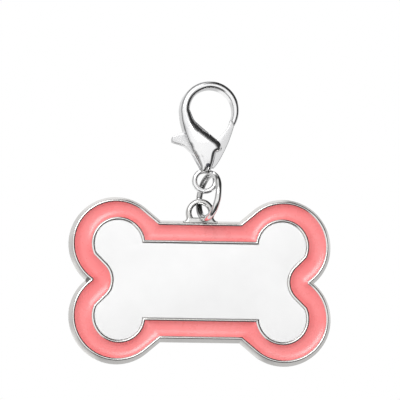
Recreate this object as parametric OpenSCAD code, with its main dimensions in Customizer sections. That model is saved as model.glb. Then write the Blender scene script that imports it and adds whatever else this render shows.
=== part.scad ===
// Pet identity tag: an enamelled bone shaped casting on a jump ring and a lobster clasp.
// Sizes are in millimetres. X runs to the right, Z runs up, and the front faces -Y.
// The origin is the inside top of the clasp's hook, where a collar ring sits.

/* [Tag casting] */
// Width of the tag over its lobes
tag_w = 49.9; // [46:0.1:54]
// Radius of a lobe over its widest edge
lobe_r = 9; // [8.6:0.1:9.6]
// Height of the straight bar between the lobes, over its widest edges
bar_h = 23.1; // [21.5:0.1:24.5]
// Slope of the straight flank that joins a lobe to the bar, in degrees from the bar
flank_a = 40; // [35:1:45]
// Thickness of the casting
tag_t = 2.2; // [2:0.1:3]
// How far the polished side swells beyond the flat top of the outer rim
flare_w = 0.6; // [0.3:0.05:0.8]
// Height of the widest line of the side above the back
flare_h = 0.9; // [0.6:0.1:1.3]
// Rounding of the back edge
back_r = 0.25; // [0.1:0.05:0.4]
// Width of the outer rim's flat top
rim_w = 0.4; // [0.3:0.05:0.7]
// Width of the inner rim's flat top
inner_rim_w = 0.5; // [0.3:0.05:0.7]
// How much nearer the tag's middle the inner lobes' centres lie than those of the outer lobes
lobe_shift = 0.33; // [0:0.01:0.6]
// Width of the channel at the notch between two lobes
bay_gap = 3.28; // [2.8:0.02:3.8]
// How far the straight flanks of the inner outline's round bay cut into the inner lobes
bay_bite = 0.32; // [0.1:0.01:0.5]
// Fillet in the notch between two lobes, at the enamel's outer edge
notch_r = 0.4; // [0.2:0.05:0.6]

/* [Tag eye] */
// Height of the eye's centre above the bar's widest edge
eye_rise = 1.5; // [1.3:0.05:2]
// Radius of the hole in the tag's eye
tag_eye_r = 1.65; // [1.6:0.05:2]
// Width of the metal round the hole
tag_eye_w = 1.05; // [0.7:0.05:1.3]
// Thickness of the tag's eye, front to back
tag_eye_t = 1.8; // [1.3:0.1:2]
// Radius of the fillet where the eye meets the bar
foot_r = 0.7; // [0.4:0.1:1]

/* [Enamel] */
// Width of the channel that holds the enamel
channel_w = 2.9; // [2.4:0.1:3.3]
// Depth of the channel
channel_d = 0.7; // [0.5:0.05:0.9]
// How far the enamel's surface lies below the rims
enamel_drop = 0.12; // [0.05:0.01:0.3]

/* [Name plate] */
// Depth of the recess that holds the name plate
recess_d = 0.95; // [0.8:0.05:1.2]
// Thickness of the name plate
plate_t = 0.6; // [0.4:0.05:0.7]
// Gap all round the name plate
plate_gap = 0.08; // [0.05:0.01:0.2]
// Thickness of the adhesive film under the plate
film_t = 0.15; // [0.1:0.01:0.2]
// How far the film stays back from the plate's edge
film_inset = 0.35; // [0.2:0.05:0.6]

/* [Jump ring] */
// Radius of the ring to the middle of its wire
ring_r = 4.2; // [4.1:0.05:4.6]
// Diameter of the ring's wire
ring_wire = 1.2; // [1:0.05:1.3]
// Width of the butt joint in the ring
ring_cut = 0.08; // [0.05:0.01:0.2]
// How far the ring's plane is turned from the plane of the tag, in degrees
ring_turn = 72; // [70:1:80]
// Distance between the two eyes' centres, along Z, as the chain lies
eye_step = 6.15; // [6:0.05:6.5]
// How far the tag's eye lies to the left of the clasp's eye
eye_shift = 0.93; // [0.5:0.01:1.2]

/* [Clasp body] */
// Radius of the hook to the middle of its metal
hook_r = 4.85; // [4.5:0.05:5.3]
// Width of the hook where it leaves the bulb, across its curve
root_w = 1.85; // [1.6:0.05:2.2]
// Width of the hook at its top
top_w = 1.4; // [1.2:0.05:1.7]
// Width of the hook at its tip
tip_w = 1.12; // [0.9:0.02:1.3]
// Thickness of the hook at its root, front to back
root_t = 4.2; // [3.8:0.1:4.8]
// Thickness of the hook at its tip
tip_t = 2.8; // [2.5:0.1:3.2]
// How far the hook's tip runs below the level of its centre, in degrees
tip_a = 27; // [24:1:30]
// Slant of the tip's end face, in degrees of the hook's arc
tip_slant = 8.5; // [6:0.5:11]
// Distance from the hook's centre down to the centre of the clasp's eye
body_l = 13.37; // [12.8:0.01:14]
// Width of the bulb over its beak
bulb_w = 5.6; // [5.2:0.1:6]
// Thickness of the bulb, front to back
bulb_t = 5.2; // [4.8:0.1:5.6]
// Width of the slot that the lever works in
slot_w = 2.1; // [1.9:0.05:2.3]
// Radius of the hole in the clasp's eye
clasp_eye_r = 1.5; // [1.45:0.05:1.7]
// Width of the metal round that hole
clasp_eye_w = 0.95; // [0.8:0.05:1.1]
// Height of the metal between that hole and the slot for the lever
neck_h = 0.44; // [0.35:0.01:0.6]
// Thickness of the clasp's eye, front to back
clasp_eye_t = 1.4; // [1.2:0.1:1.6]

/* [Clasp lever] */
// Gap on each side of the lever in its slot
lever_gap = 0.1; // [0.05:0.01:0.15]
// Gap between the lever's nose and the hook's tip
nose_gap = 0.08; // [0.05:0.01:0.15]
// Radius of the lever's hub round the rivet
hub_r = 0.77; // [0.7:0.01:0.8]
// Gap between the lever and the metal of the body at its stop and under its hub
stop_gap = 0.1; // [0.05:0.01:0.15]
// Radius of the rivet
rivet_r = 0.4; // [0.35:0.01:0.45]
// Running clearance of the lever on the rivet
rivet_play = 0.04; // [0.02:0.01:0.08]
// Clearance of the rivet in the clasp body, which is riveted over it
rivet_fit = 0.01; // [0.01:0.005:0.02]
// Bevel at the rivet's ends
rivet_bevel = 0.08; // [0.04:0.01:0.12]

/* [Lever spring] */
// Diameter of the spring's wire
spring_wire = 0.25; // [0.2:0.01:0.28]
// Outer diameter of the spring
spring_d = 1.3; // [1.2:0.05:1.4]
// Number of curls in the spring
spring_curls = 5; // [4:0.5:5]
// Clearance round the spring in the lever's pocket
pocket_gap = 0.06; // [0.04:0.01:0.1]
// Gap at each end of the spring
spring_end_gap = 0.03; // [0.02:0.01:0.06]

/* [Hidden] */
$fn = 64;

// Overrun that lets a cut pass through the face it starts from
over = 0.2;
// Lap that merges a flank or a fillet with the circle it touches
lap = 0.01;
// Clearance of a fill or a plate in the seat that holds it
seat_fit = 0.01;

// Depth of the band from the tag's widest edge to the enamel
edge_w = flare_w + rim_w;
// Depth of the band from the tag's widest edge to the recess of the plate
recess_inset = edge_w + channel_w + inner_rim_w;
// Places of the lobes' centres, and of the eye's centre, from the tag's centre
lobe_rise_share = 0.7633;
lobe_x = tag_w / 2 - lobe_r;
lobe_z = lobe_rise_share * lobe_r;
panel_lobe_x = lobe_x - lobe_shift;
eye_up = bar_h / 2 + eye_rise;
// Distance of the notch fillet's centre from the upright centre line
notch_x = lobe_x + sqrt(pow(lobe_r - edge_w + notch_r, 2) - pow(lobe_z, 2));
// The bay at the enamel's inner edge: its tip, the place where its flank would meet the level
// centre line, its radius and its centre
bay_tip = notch_x - notch_r - bay_gap;
bay_foot = panel_lobe_x - lobe_z + (lobe_r - edge_w - channel_w - bay_bite) * sqrt(2);
bay_r = (bay_tip - bay_foot) / (sqrt(2) - 1);
bay_x = bay_tip + bay_r;
// Levels of the front face and the back face, with the tag's middle at zero
front = tag_t / 2;
back = -tag_t / 2;
// Steps in the swell of the tag's side, and in the rounding of its back edge
flare_steps = 6;
back_steps = 3;
// How deep the foot of the tag's eye starts in that swell, as a share of its width
foot_sink_share = 0.14;

// Places of the clasp, in the plane of the hook, where its eye lies under the bulb's neck
eye_side_share = 0.702;
hook_c = [0, top_w / 2 - hook_r];
clasp_eye = [hook_c.x - hook_r + eye_side_share * bulb_w, hook_c.y - body_l];
tag_eye = [clasp_eye.x - eye_shift, clasp_eye.y - eye_step];
tag_c = [tag_eye.x, tag_eye.y - eye_up];

// Shares of its play by which the ring's wire lies off the middle of each eye
wire_off_share = 0.4;
wire_side_share = 0.2;
// The two places where the ring's wire passes through an eye
wire_top = clasp_eye + (clasp_eye_r - ring_wire / 2) * [wire_side_share, wire_off_share];
wire_low = tag_eye + (tag_eye_r - ring_wire / 2) * [wire_side_share, -wire_off_share];
ring_mid = (wire_top + wire_low) / 2;
ring_chord = norm(wire_top - wire_low);
ring_lean = atan2(wire_top.x - wire_low.x, wire_top.y - wire_low.y);
ring_out = sqrt(pow(ring_r, 2) - pow(ring_chord / 2, 2));

// Sides and rings of the clasp body's loft, and the steps between two of its stations
loft_sides = 24;
hook_rings = 26;
station_steps = 3;
// Roundness of the hook's section and of the bulb's section, where 2 is an ellipse
hook_power = 2.4;
bulb_power = 3.2;
// How fast the hook thickens from its tip, where 1 is even
hook_growth = 0.6;
// Stations of the bulb from the hook's root to the eye. Each has its depth as a share of body_l,
// its left and right edge as shares of bulb_w from the hook's left side, its thickness as a share
// of bulb_t, and how far its section has changed from the hook's to the bulb's
station_shares = [
    [0.138, -0.130, 0.305, 0.83, 0.1],
    [0.217, -0.085, 0.481, 0.87, 0.3],
    [0.310, -0.018, 0.736, 0.93, 0.6],
    [0.451, 0.110, 1.120, 1.00, 1.0],
    [0.545, 0.218, 1.228, 1.00, 1.0],
    [0.598, 0.262, 1.060, 0.96, 1.0],
    [0.666, 0.338, 1.005, 0.89, 1.0],
    [0.748, 0.442, 0.965, 0.79, 0.8],
    [0.815, 0.515, 0.915, 0.67, 0.5],
    [0.868, 0.510, 0.900, 0.50, 0.2],
    [0.904, 0.500, 0.905, 0.20, 0.0]
];

// The rivet's place off the middle of the bulb's section, as a share of the half width
rivet_side_share = 0.24;

// Outline of the lever in its own frame, which has its origin at the rivet and its first axis
// towards the middle of the hook's tip. The points are shares of that distance
gate_back_shares = [[0.762, -0.099], [0.549, -0.133], [0.327, -0.149], [0.166, -0.152],
                    [0.045, -0.140]];
tab_under_shares = [[-0.055, 0.050], [-0.004, 0.150], [0.046, 0.286], [0.080, 0.442],
                    [0.107, 0.577], [0.092, 0.681], [0.062, 0.790]];
tab_end_shares = [[0.056, 0.828], [0.082, 0.853], [0.138, 0.878], [0.160, 0.866]];
tab_over_shares = [[0.278, 0.789], [0.322, 0.742], [0.318, 0.690], [0.262, 0.572], [0.176, 0.420],
                   [0.119, 0.320], [0.114, 0.240], [0.152, 0.160], [0.205, 0.096], [0.277, 0.079],
                   [0.410, 0.132], [0.530, 0.109], [0.632, 0.077], [0.768, 0.042], [0.912, 0.035]];
lever_steps = 3;
// Face of the body's web that stops the lever and seats the spring, in the same frame
web_shares = [[0.340, 0.900], [0.348, 0.727], [0.286, 0.574], [0.150, 0.336], [0.275, 0.409],
              [0.402, 0.418], [0.583, 0.501]];
// How far the cavity runs to the right of the rivet, as a share of the bulb's width
slot_reach_share = 0.6;
// Ends of the spring: its seat on the web, and the floor of its pocket in the lever
spring_seat_share = [0.203, 0.367];
spring_pocket_share = [0.409, 0.018];

curl_rings = 8;
curl_sides = 6;

// Value between two others
function between(a, b, s) = a + (b - a) * s;

// Point of a smooth curve through four points, between the second and the third
function curve_point(p, q, r, s, t) =
    0.5 * (2 * q + (r - p) * t + (2 * p - 5 * q + 4 * r - s) * t * t
           + (3 * q - p - 3 * r + s) * t * t * t);
// Place on the smooth curve through a list, where the whole part of s counts the points
function along(list, s) =
    let (i = min(floor(s), len(list) - 2), last = len(list) - 1)
    curve_point(list[max(i - 1, 0)], list[i], list[i + 1], list[min(i + 2, last)], s - i);
// A list of points made smooth, with the given number of steps between two of them
function smooth(list, steps) =
    [for (i = [0 : (len(list) - 1) * steps]) along(list, i / steps)];

// Point of a rounded section whose half sizes are 1
function section_point(power, a) =
    [sign(cos(a)) * pow(abs(cos(a)), 2 / power), sign(sin(a)) * pow(abs(sin(a)), 2 / power)];
// Ring of points round a section that runs from an inner to an outer point of the hook's plane
function section_ring(inner, outer, half_t, power) =
    [for (k = [0 : loft_sides - 1])
        let (e = section_point(power, 360 * k / loft_sides),
             p = (inner + outer) / 2 + (outer - inner) / 2 * e.x)
        [p.x, half_t * e.y, p.y]];
function polar(c, r, a) = [c.x + r * cos(a), c.y + r * sin(a)];

// Section of the hook at an angle: its inner and outer point, half thickness and roundness
function hook_width(a) =
    a < 90 ? between(tip_w, top_w, (a + tip_a) / (90 + tip_a)) : between(top_w, root_w, a / 90 - 1);
function hook_slant(a) = tip_slant / 2 * max(0, 1 - (a + tip_a) / tip_a);
function hook_section(a) =
    [polar(hook_c, hook_r - hook_width(a) / 2, a + hook_slant(a)),
     polar(hook_c, hook_r + hook_width(a) / 2, a - hook_slant(a)),
     between(tip_t, root_t, pow((a + tip_a) / (180 + tip_a), hook_growth)) / 2,
     hook_power];
// The bulb's stations, with the hook's root as the first
stations = concat([[0, -root_w / 2, root_w / 2, root_t / 2, hook_power]],
    [for (s = station_shares)
        [s[0] * body_l, s[1] * bulb_w, s[2] * bulb_w, s[3] * bulb_t / 2,
         between(hook_power, bulb_power, s[4])]]);
function bulb_section(s) =
    let (v = along(stations, s), x = hook_c.x - hook_r, z = hook_c.y - v[0])
    [[x + v[2], z], [x + v[1], z], v[3], v[4]];
hook_sections = [for (i = [0 : hook_rings]) hook_section(between(-tip_a, 180, i / hook_rings))];
bulb_sections = [for (i = [1 : (len(stations) - 1) * station_steps]) bulb_section(i / station_steps)];

// The rivet, which leaves room for the lever's hub above the clasp's eye, and the lever's frame
slot_floor = clasp_eye.y + clasp_eye_r + neck_h;
rivet_z = slot_floor + stop_gap + hub_r;
rivet_section = bulb_section(lookup(hook_c.y - rivet_z,
    [for (i = [0 : len(stations) - 1]) [stations[i][0], i]]));
rivet_c = [between((rivet_section[0].x + rivet_section[1].x) / 2, rivet_section[0].x,
    rivet_side_share), rivet_z];
rivet_l = 2 * rivet_section[2];
tip = hook_section(-tip_a);
tip_mid = (tip[0] + tip[1]) / 2;
lever_l = norm(tip_mid - rivet_c);
lever_x = (tip_mid - rivet_c) / lever_l;
lever_y = [-lever_x.y, lever_x.x];
function lever_point(s) = rivet_c + lever_l * (s.x * lever_x + s.y * lever_y);
function lever_points(list) = [for (s = list) lever_point(s)];
// The nose lies along the slanted end of the hook's tip, a gap away from it
tip_dir = (tip[1] - tip[0]) / norm(tip[1] - tip[0]);
nose_off = nose_gap * [tip_dir.y, -tip_dir.x];
nose_in = tip[0] + nose_off;
nose_out = tip[1] + nose_off;
spring_seat = lever_point(spring_seat_share);
spring_pocket = lever_point(spring_pocket_share);
spring_l = norm(spring_pocket - spring_seat) - 2 * spring_end_gap;
spring_a = atan2(spring_pocket.y - spring_seat.y, spring_pocket.x - spring_seat.x);

// Turns a shape drawn in X and Y, with its front up, into the plane of the part
module stand() { rotate([90, 0, 0]) children(); }

// A plate with the given outline in X and Z, centred on the middle plane
module slab(thickness) { stand() linear_extrude(thickness, center = true) children(); }

// Four copies at the centres of the lobes
module at_lobes() {
    for (sx = [-1, 1], sz = [-1, 1]) translate([sx * lobe_x, sz * lobe_z, 0]) children();
}

// Block with the bone outline, drawn in from the widest edge: round lobes, straight bar and
// flanks, and filleted notches
module bone(inset, height) {
    r = lobe_r - inset;
    top = bar_h / 2 - inset;
    touch = [lobe_x - (r - lap) * sin(flank_a), lobe_z + (r - lap) * cos(flank_a)];
    side = [[touch.x - (touch.y - top) / tan(flank_a), top], touch, [lobe_x, lobe_z], [notch_x, 0],
            [lobe_x, -lobe_z], [touch.x, -touch.y], [touch.x - (touch.y - top) / tan(flank_a), -top]];
    at_lobes() cylinder(r = r, h = height);
    difference() {
        linear_extrude(height) polygon(concat(side, [for (p = side) -p]));
        for (s = [-1, 1]) translate([s * notch_x, 0, -over])
            cylinder(r = notch_r + inset - edge_w + lap, h = height + 2 * over);
    }
}

// Block with the outline inside the enamel: smaller lobes, and a round bay with straight flanks
// at each notch
module panel(inset, height) {
    r = lobe_r - inset;
    bay = bay_r + inset - edge_w - channel_w;
    c = (bay - lap) * cos(45);
    difference() {
        union() {
            for (sx = [-1, 1], sz = [-1, 1])
                translate([sx * panel_lobe_x, sz * lobe_z, 0]) cylinder(r = r, h = height);
            linear_extrude(height) square([2 * panel_lobe_x, bar_h - 2 * inset], center = true);
            linear_extrude(height)
                square([2 * (panel_lobe_x + r * cos(45)), 2 * lobe_z], center = true);
        }
        for (sx = [0, 1]) mirror([sx, 0, 0]) translate([bay_x, 0, -over]) {
            cylinder(r = bay, h = height + 2 * over);
            linear_extrude(height + 2 * over)
                polygon([[-c, c], [lobe_r - c, c + lobe_r], [lobe_r - c, -c - lobe_r], [-c, -c]]);
        }
    }
}

// Half section of the casting's edge, out to the given size, from the back to the front
function edge_section(r) = concat(
    [for (i = [0 : back_steps]) let (a = 90 * i / back_steps)
        [r - back_r * (1 - sin(a)), back + back_r * (1 - cos(a))]],
    [for (i = [0 : flare_steps]) let (a = 90 * i / flare_steps)
        [r - flare_w * (1 - cos(a)), back + flare_h + (tag_t - flare_h) * sin(a)]]);

module tag_blank() {
    half = edge_section(bar_h / 2);
    lobe = concat([[0, back]], edge_section(lobe_r), [[0, front]]);
    flank_l = (lobe_z + lobe_r * cos(flank_a) - bar_h / 2 + edge_w) / sin(flank_a);
    at_lobes() rotate_extrude() polygon(lobe);
    for (sx = [0, 1], sz = [0, 1]) mirror([sx, 0, 0]) mirror([0, sz, 0])
        translate([lobe_x, lobe_z, 0]) rotate([0, 0, 90 + flank_a]) rotate([90, 0, 0])
        translate([0, 0, -flank_l]) linear_extrude(flank_l) polygon(lobe);
    rotate([90, 0, 90]) linear_extrude(2 * lobe_x, center = true)
        polygon(concat(half, [for (i = [len(half) - 1 : -1 : 0]) [-half[i].x, half[i].y]]));
}

// Ring with rounded edges, flat in X and Y
module eye_ring(hole_r, width, thickness) {
    r = min(width, thickness) / 2;
    rotate_extrude() translate([hole_r + width / 2, 0]) {
        for (s = [-1, 1]) translate([0, s * (thickness / 2 - r)]) circle(r = r);
        square([2 * r, thickness - 2 * r], center = true);
    }
}

// Filleted foot that joins the tag's eye to the bar
module eye_foot() {
    outer = tag_eye_r + tag_eye_w;
    top = bar_h / 2 - foot_sink_share * flare_w;
    c = [sqrt(pow(outer + foot_r, 2) - pow(eye_up - top - foot_r, 2)), top + foot_r];
    linear_extrude(tag_eye_t - tag_eye_w, center = true) difference() {
        polygon([[0, eye_up], c, [c.x, top - flare_w], [-c.x, top - flare_w], [-c.x, c.y]]);
        for (s = [-1, 1]) translate([s * c.x, c.y]) circle(r = foot_r + lap);
    }
}

module on_tag() { translate([tag_c.x, 0, tag_c.y]) stand() children(); }

// Block that fills the channel between the two rims
module channel(fit, height) {
    difference() {
        bone(edge_w + fit, height);
        translate([0, 0, -over]) panel(edge_w + channel_w - fit, height + 2 * over);
    }
}

module tag_casting() {
    color("silver") on_tag() difference() {
        union() {
            tag_blank();
            translate([0, eye_up, 0]) eye_ring(tag_eye_r, tag_eye_w, tag_eye_t);
            eye_foot();
        }
        translate([0, eye_up, -tag_t]) cylinder(r = tag_eye_r, h = 2 * tag_t);
        translate([0, 0, front - channel_d]) channel(0, channel_d + over);
        translate([0, 0, front - recess_d]) panel(recess_inset, recess_d + over);
    }
}

// Soft enamel that fills the channel, a little lower than the rims
module enamel_inlay() {
    floor_z = front - channel_d + seat_fit;
    color("lightcoral") on_tag() translate([0, 0, floor_z])
        channel(seat_fit, front - enamel_drop - floor_z);
}

module name_plate() {
    color("white") on_tag() translate([0, 0, front - recess_d + film_t + 2 * seat_fit])
        panel(recess_inset + plate_gap, plate_t);
}

module adhesive_film() {
    color("ivory") on_tag() translate([0, 0, front - recess_d + seat_fit])
        panel(recess_inset + plate_gap + film_inset, film_t);
}

// Round wire ring with a butt joint on the arm that runs behind the eyes
module jump_ring() {
    cut_a = 2 * asin(ring_cut / 2 / ring_r);
    color("gainsboro") translate([ring_mid.x, 0, ring_mid.y]) rotate([0, ring_lean, 0])
        rotate([0, 0, -ring_turn]) translate([ring_out, 0, 0]) stand()
        rotate([0, 0, 180 + cut_a / 2]) rotate_extrude(angle = 360 - cut_a)
        translate([ring_r, 0]) circle(d = ring_wire);
}

// Solid skin through a list of rings with the same number of points
module skin(rings) {
    n = len(rings[0]);
    last = len(rings) - 1;
    points = [for (ring = rings) each ring];
    sides = [for (i = [0 : last - 1], k = [0 : n - 1]) let (k2 = (k + 1) % n)
        each [[i * n + k, (i + 1) * n + k2, i * n + k2], [i * n + k, (i + 1) * n + k, (i + 1) * n + k2]]];
    ends = [for (k = [1 : n - 2]) each [[0, k, k + 1], [last * n, last * n + k + 1, last * n + k]]];
    polyhedron(points, concat(sides, ends), convexity = 6);
}

// Outline of the cavity in the bulb that the lever swings in, open to the left and to the hook
module slot_outline() {
    web = lever_points(web_shares);
    right = rivet_c.x + slot_reach_share * bulb_w;
    left = rivet_c.x - 2 * bulb_w;
    polygon(concat(web, [[right, web[len(web) - 1].y], [right, slot_floor], [left, slot_floor],
                         [left, web[0].y]]));
}

// Cast body of the clasp: hook, hollow bulb and eye, lofted from the tip to the neck
module clasp_body() {
    color("silver") difference() {
        union() {
            skin([for (s = concat(hook_sections, bulb_sections))
                section_ring(s[0], s[1], s[2], s[3])]);
            translate([clasp_eye.x, 0, clasp_eye.y]) stand()
                eye_ring(clasp_eye_r, clasp_eye_w, clasp_eye_t);
        }
        slab(slot_w) slot_outline();
        translate([clasp_eye.x, 0, clasp_eye.y]) rotate([90, 0, 0])
            cylinder(r = clasp_eye_r, h = bulb_t, center = true);
        translate([rivet_c.x, 0, rivet_c.y]) rotate([90, 0, 0])
            cylinder(r = rivet_r + rivet_fit, h = 2 * bulb_t, center = true);
    }
}

// Outline of the lever's gate and thumb tab
module lever_outline() {
    back_edge = smooth(concat([nose_out], lever_points(gate_back_shares)), lever_steps);
    under = smooth(lever_points(tab_under_shares), lever_steps);
    over_edge = smooth(concat(lever_points(tab_over_shares), [nose_in]), lever_steps);
    polygon(concat(back_edge, [rivet_c], under, lever_points(tab_end_shares), over_edge));
}

module clasp_lever() {
    color("gainsboro") difference() {
        union() {
            slab(slot_w - 2 * lever_gap) lever_outline();
            slab(slot_w - 2 * lever_gap) translate(rivet_c) circle(r = hub_r);
        }
        translate([rivet_c.x, 0, rivet_c.y]) rotate([90, 0, 0])
            cylinder(r = rivet_r + rivet_play, h = bulb_t, center = true);
        translate([spring_pocket.x, 0, spring_pocket.y]) rotate([0, -90 - spring_a, 0])
            cylinder(d = spring_d + 2 * pocket_gap, h = spring_l / 2);
    }
}

module lever_rivet() {
    color("silver") translate([rivet_c.x, 0, rivet_c.y]) rotate([90, 0, 0]) rotate_extrude()
        polygon([[0, -rivet_l / 2], [rivet_r - rivet_bevel, -rivet_l / 2],
                 [rivet_r, rivet_bevel - rivet_l / 2], [rivet_r, rivet_l / 2 - rivet_bevel],
                 [rivet_r - rivet_bevel, rivet_l / 2], [0, rivet_l / 2]]);
}

// Middle line of the spring along X, and its wire's rings
spring_mid_r = (spring_d - spring_wire) / 2;
spring_run = spring_l - spring_wire;
spring_n = spring_curls * curl_rings;
function coil_point(i) =
    let (a = 360 * i / curl_rings)
    [spring_wire / 2 + spring_run * i / spring_n, spring_mid_r * cos(a), spring_mid_r * sin(a)];
// The wire's rings stand square to the coil, leaning by the angle that the coil climbs
climb_a = atan2(spring_run / spring_curls, 2 * PI * spring_mid_r);
function coil_ring(i) =
    let (a = 360 * i / curl_rings, p = coil_point(i),
         out = [0, cos(a), sin(a)], side = [cos(climb_a), sin(climb_a) * sin(a), -sin(climb_a) * cos(a)])
    [for (k = [0 : curl_sides - 1]) let (b = 360 * k / curl_sides)
        p + spring_wire / 2 * (cos(b) * side + sin(b) * out)];
coil_gaps = [for (i = [0 : spring_n], j = [i + curl_rings / 2 : 1 : spring_n])
    norm(coil_point(i) - coil_point(j)) - spring_wire];
echo(spring_least_gap_to_itself = min(coil_gaps));

module lever_spring() {
    color("dimgray") translate([spring_seat.x, 0, spring_seat.y]) rotate([0, -spring_a, 0])
        translate([spring_end_gap, 0, 0]) skin([for (i = [0 : spring_n]) coil_ring(i)]);
}

tag_casting();
enamel_inlay();
name_plate();
adhesive_film();
jump_ring();
clasp_body();
clasp_lever();
lever_rivet();
lever_spring();
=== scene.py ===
"""Looks of the pet identity tag: fine meshes over the CAD part, their materials, light and camera.

Lengths are in millimetres until to_mesh() turns them into metres, and the stage is in metres.
X runs right, Z up, and the front faces -Y. The sizes repeat those of the CAD source, and those
that only the looks need, such as small roundings, stand apart below.
"""

import math

import bmesh
import bpy
import numpy as np
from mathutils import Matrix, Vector


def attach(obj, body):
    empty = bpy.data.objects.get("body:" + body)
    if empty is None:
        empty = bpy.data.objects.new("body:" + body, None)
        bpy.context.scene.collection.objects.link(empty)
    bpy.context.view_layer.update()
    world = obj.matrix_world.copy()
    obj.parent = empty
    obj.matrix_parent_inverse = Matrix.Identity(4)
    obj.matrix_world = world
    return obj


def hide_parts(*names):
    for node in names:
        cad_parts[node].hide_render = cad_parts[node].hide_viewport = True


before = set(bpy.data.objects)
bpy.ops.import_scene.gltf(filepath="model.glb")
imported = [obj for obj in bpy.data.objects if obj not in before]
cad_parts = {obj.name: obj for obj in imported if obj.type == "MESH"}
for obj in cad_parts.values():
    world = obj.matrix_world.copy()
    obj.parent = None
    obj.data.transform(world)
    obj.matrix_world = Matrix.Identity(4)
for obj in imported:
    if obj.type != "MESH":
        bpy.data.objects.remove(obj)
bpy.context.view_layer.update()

# Everything is modelled in millimetres, and points closer than WELD become one
MM = 0.001
WELD = 0.001 * MM

# Tag casting
TAG_W, LOBE_R, LOBE_RISE, BAR_H, TAG_T = 49.9, 9.0, 0.7633, 23.1, 2.2
FLANK = math.radians(40)
FLARE_W, FLARE_H, BACK_R = 0.6, 0.9, 0.25
RIM_W, INNER_RIM_W, CHANNEL_W, CHANNEL_D = 0.4, 0.5, 2.9, 0.7
LOBE_SHIFT, BAY_GAP, BAY_BITE, NOTCH_R = 0.33, 3.28, 0.32, 0.4
RECESS_D, PLATE_T, PLATE_GAP, FILM_T, SEAT = 0.95, 0.6, 0.08, 0.15, 0.01
EYE_RISE, TAG_EYE_R, TAG_EYE_W, TAG_EYE_T, FOOT_R = 1.5, 1.65, 1.05, 1.8, 0.7

# Clasp and ring
HOOK_R, ROOT_W, TOP_W, TIP_W, ROOT_T, TIP_T = 4.85, 1.85, 1.4, 1.12, 4.2, 2.8
TIP_A, TIP_SLANT, BODY_L, BULB_W, BULB_T, SLOT_W = 27, 8.5, 13.37, 5.6, 5.2, 2.1
CLASP_EYE_R, CLASP_EYE_W, CLASP_EYE_T, NECK_H = 1.5, 0.95, 1.4, 0.44
LEVER_GAP, NOSE_GAP, HUB_R, STOP_GAP, RIVET_R = 0.1, 0.08, 0.77, 0.1, 0.4
RING_R, RING_WIRE, RING_CUT, RING_TURN = 4.2, 1.2, 0.08, math.radians(72)
EYE_STEP, EYE_SHIFT = 6.15, 0.93
EYE_SIDE_SHARE, RIVET_SIDE_SHARE, WIRE_SIDE_SHARE, WIRE_OFF_SHARE = 0.702, 0.24, 0.2, 0.4
HOOK_GROWTH, SLOT_REACH_SHARE = 0.6, 0.6

# Roundings and forms that only the looks have: the tag's rims, which slope between two bends,
# a row up its side, the sunk foot of its eye, the enamel's hollow, small edges, the rows at the
# wire's ends as shares of the rounding's run and depth, the rivet's head and the lever's hub
RIM_OUT_R, LIP_TOP_R, LIP_RUN, LIP_LOW_R, LIP_TILT = 0.25, 0.12, 0.15, 0.08, 30
SIDE_ROW, FOOT_SINK, NOTCH_MIN_R = 0.3, 0.08, 0.03
ENAMEL_DROP, ENAMEL_DISH, DISH_FULLNESS = 0.12, 0.40, 2.4
PLATE_EDGE_R, WIRE_END_R, LEVER_EDGE_R = 0.06, 0.05, 0.10
WIRE_END_SHARES = ((0, 1), (0.4, 0.3))
RIVET_SINK, RIVET_DOME, RIVET_CAP = 0.06, 0.09, math.radians(84)
HUB_FROM, HUB_TO = math.radians(-30), math.radians(-160)

# Numbers of steps: round small edges, over the tag's rim, round half its eye's section, across the
# enamel, along half the jump ring and round its wire, along the hook, round the clasp eye's
# section and its circle, over the rivet's head and between two points of the lever's curves
EDGE_N, RIM_N, TAG_EYE_N, ENAMEL_N, RING_N, WIRE_N = 5, 7, 12, 30, 109, 32
HOOK_N, SECTION_N, CIRCLE_N, HEAD_N, CURVE_N = 129, 28, 72, 7, 6

# Rounding of the clasp's faces, by its distance from the inner and the outer edge: the radii, how
# much of each the bulb loses, the share that is left under the beak, and the share of the half
# thickness that a radius may take
ROUND_IN, ROUND_OUT, LOSS_IN, LOSS_OUT, UNDER_SHARE = 2.0, 1.8, 0.30, 0.13, 0.65
DEPTH_SHARE = 0.96

# Derived places
LOBE_X = TAG_W / 2 - LOBE_R
LOBE_Z = LOBE_RISE * LOBE_R
PANEL_X = LOBE_X - LOBE_SHIFT
EDGE_W = FLARE_W + RIM_W
RECESS_INSET = EDGE_W + CHANNEL_W + INNER_RIM_W
NOTCH_X = LOBE_X + math.sqrt((LOBE_R - EDGE_W + NOTCH_R) ** 2 - LOBE_Z**2)
BAY_TIP = NOTCH_X - NOTCH_R - BAY_GAP
BAY_FOOT = PANEL_X - LOBE_Z + (LOBE_R - EDGE_W - CHANNEL_W - BAY_BITE) * math.sqrt(2)
BAY_R = (BAY_TIP - BAY_FOOT) / (math.sqrt(2) - 1)
BAY_X = BAY_TIP + BAY_R
FRONT, BACK = -TAG_T / 2, TAG_T / 2
HOOK_C = np.array([0, TOP_W / 2 - HOOK_R])
CLASP_EYE = np.array([HOOK_C[0] - HOOK_R + EYE_SIDE_SHARE * BULB_W, HOOK_C[1] - BODY_L])
TAG_EYE = CLASP_EYE - [EYE_SHIFT, EYE_STEP]
TAG_C = TAG_EYE - [0, BAR_H / 2 + EYE_RISE]
PLAY_TOP, PLAY_LOW = CLASP_EYE_R - RING_WIRE / 2, TAG_EYE_R - RING_WIRE / 2
WIRE_TOP = CLASP_EYE + PLAY_TOP * np.array([WIRE_SIDE_SHARE, WIRE_OFF_SHARE])
WIRE_LOW = TAG_EYE + PLAY_LOW * np.array([WIRE_SIDE_SHARE, -WIRE_OFF_SHARE])


# Mesh helpers

def put(name, data):
    """Adds an object with this mesh, lamp or camera to the scene."""
    obj = bpy.data.objects.new(name, data)
    bpy.context.collection.objects.link(obj)
    return obj


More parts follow.
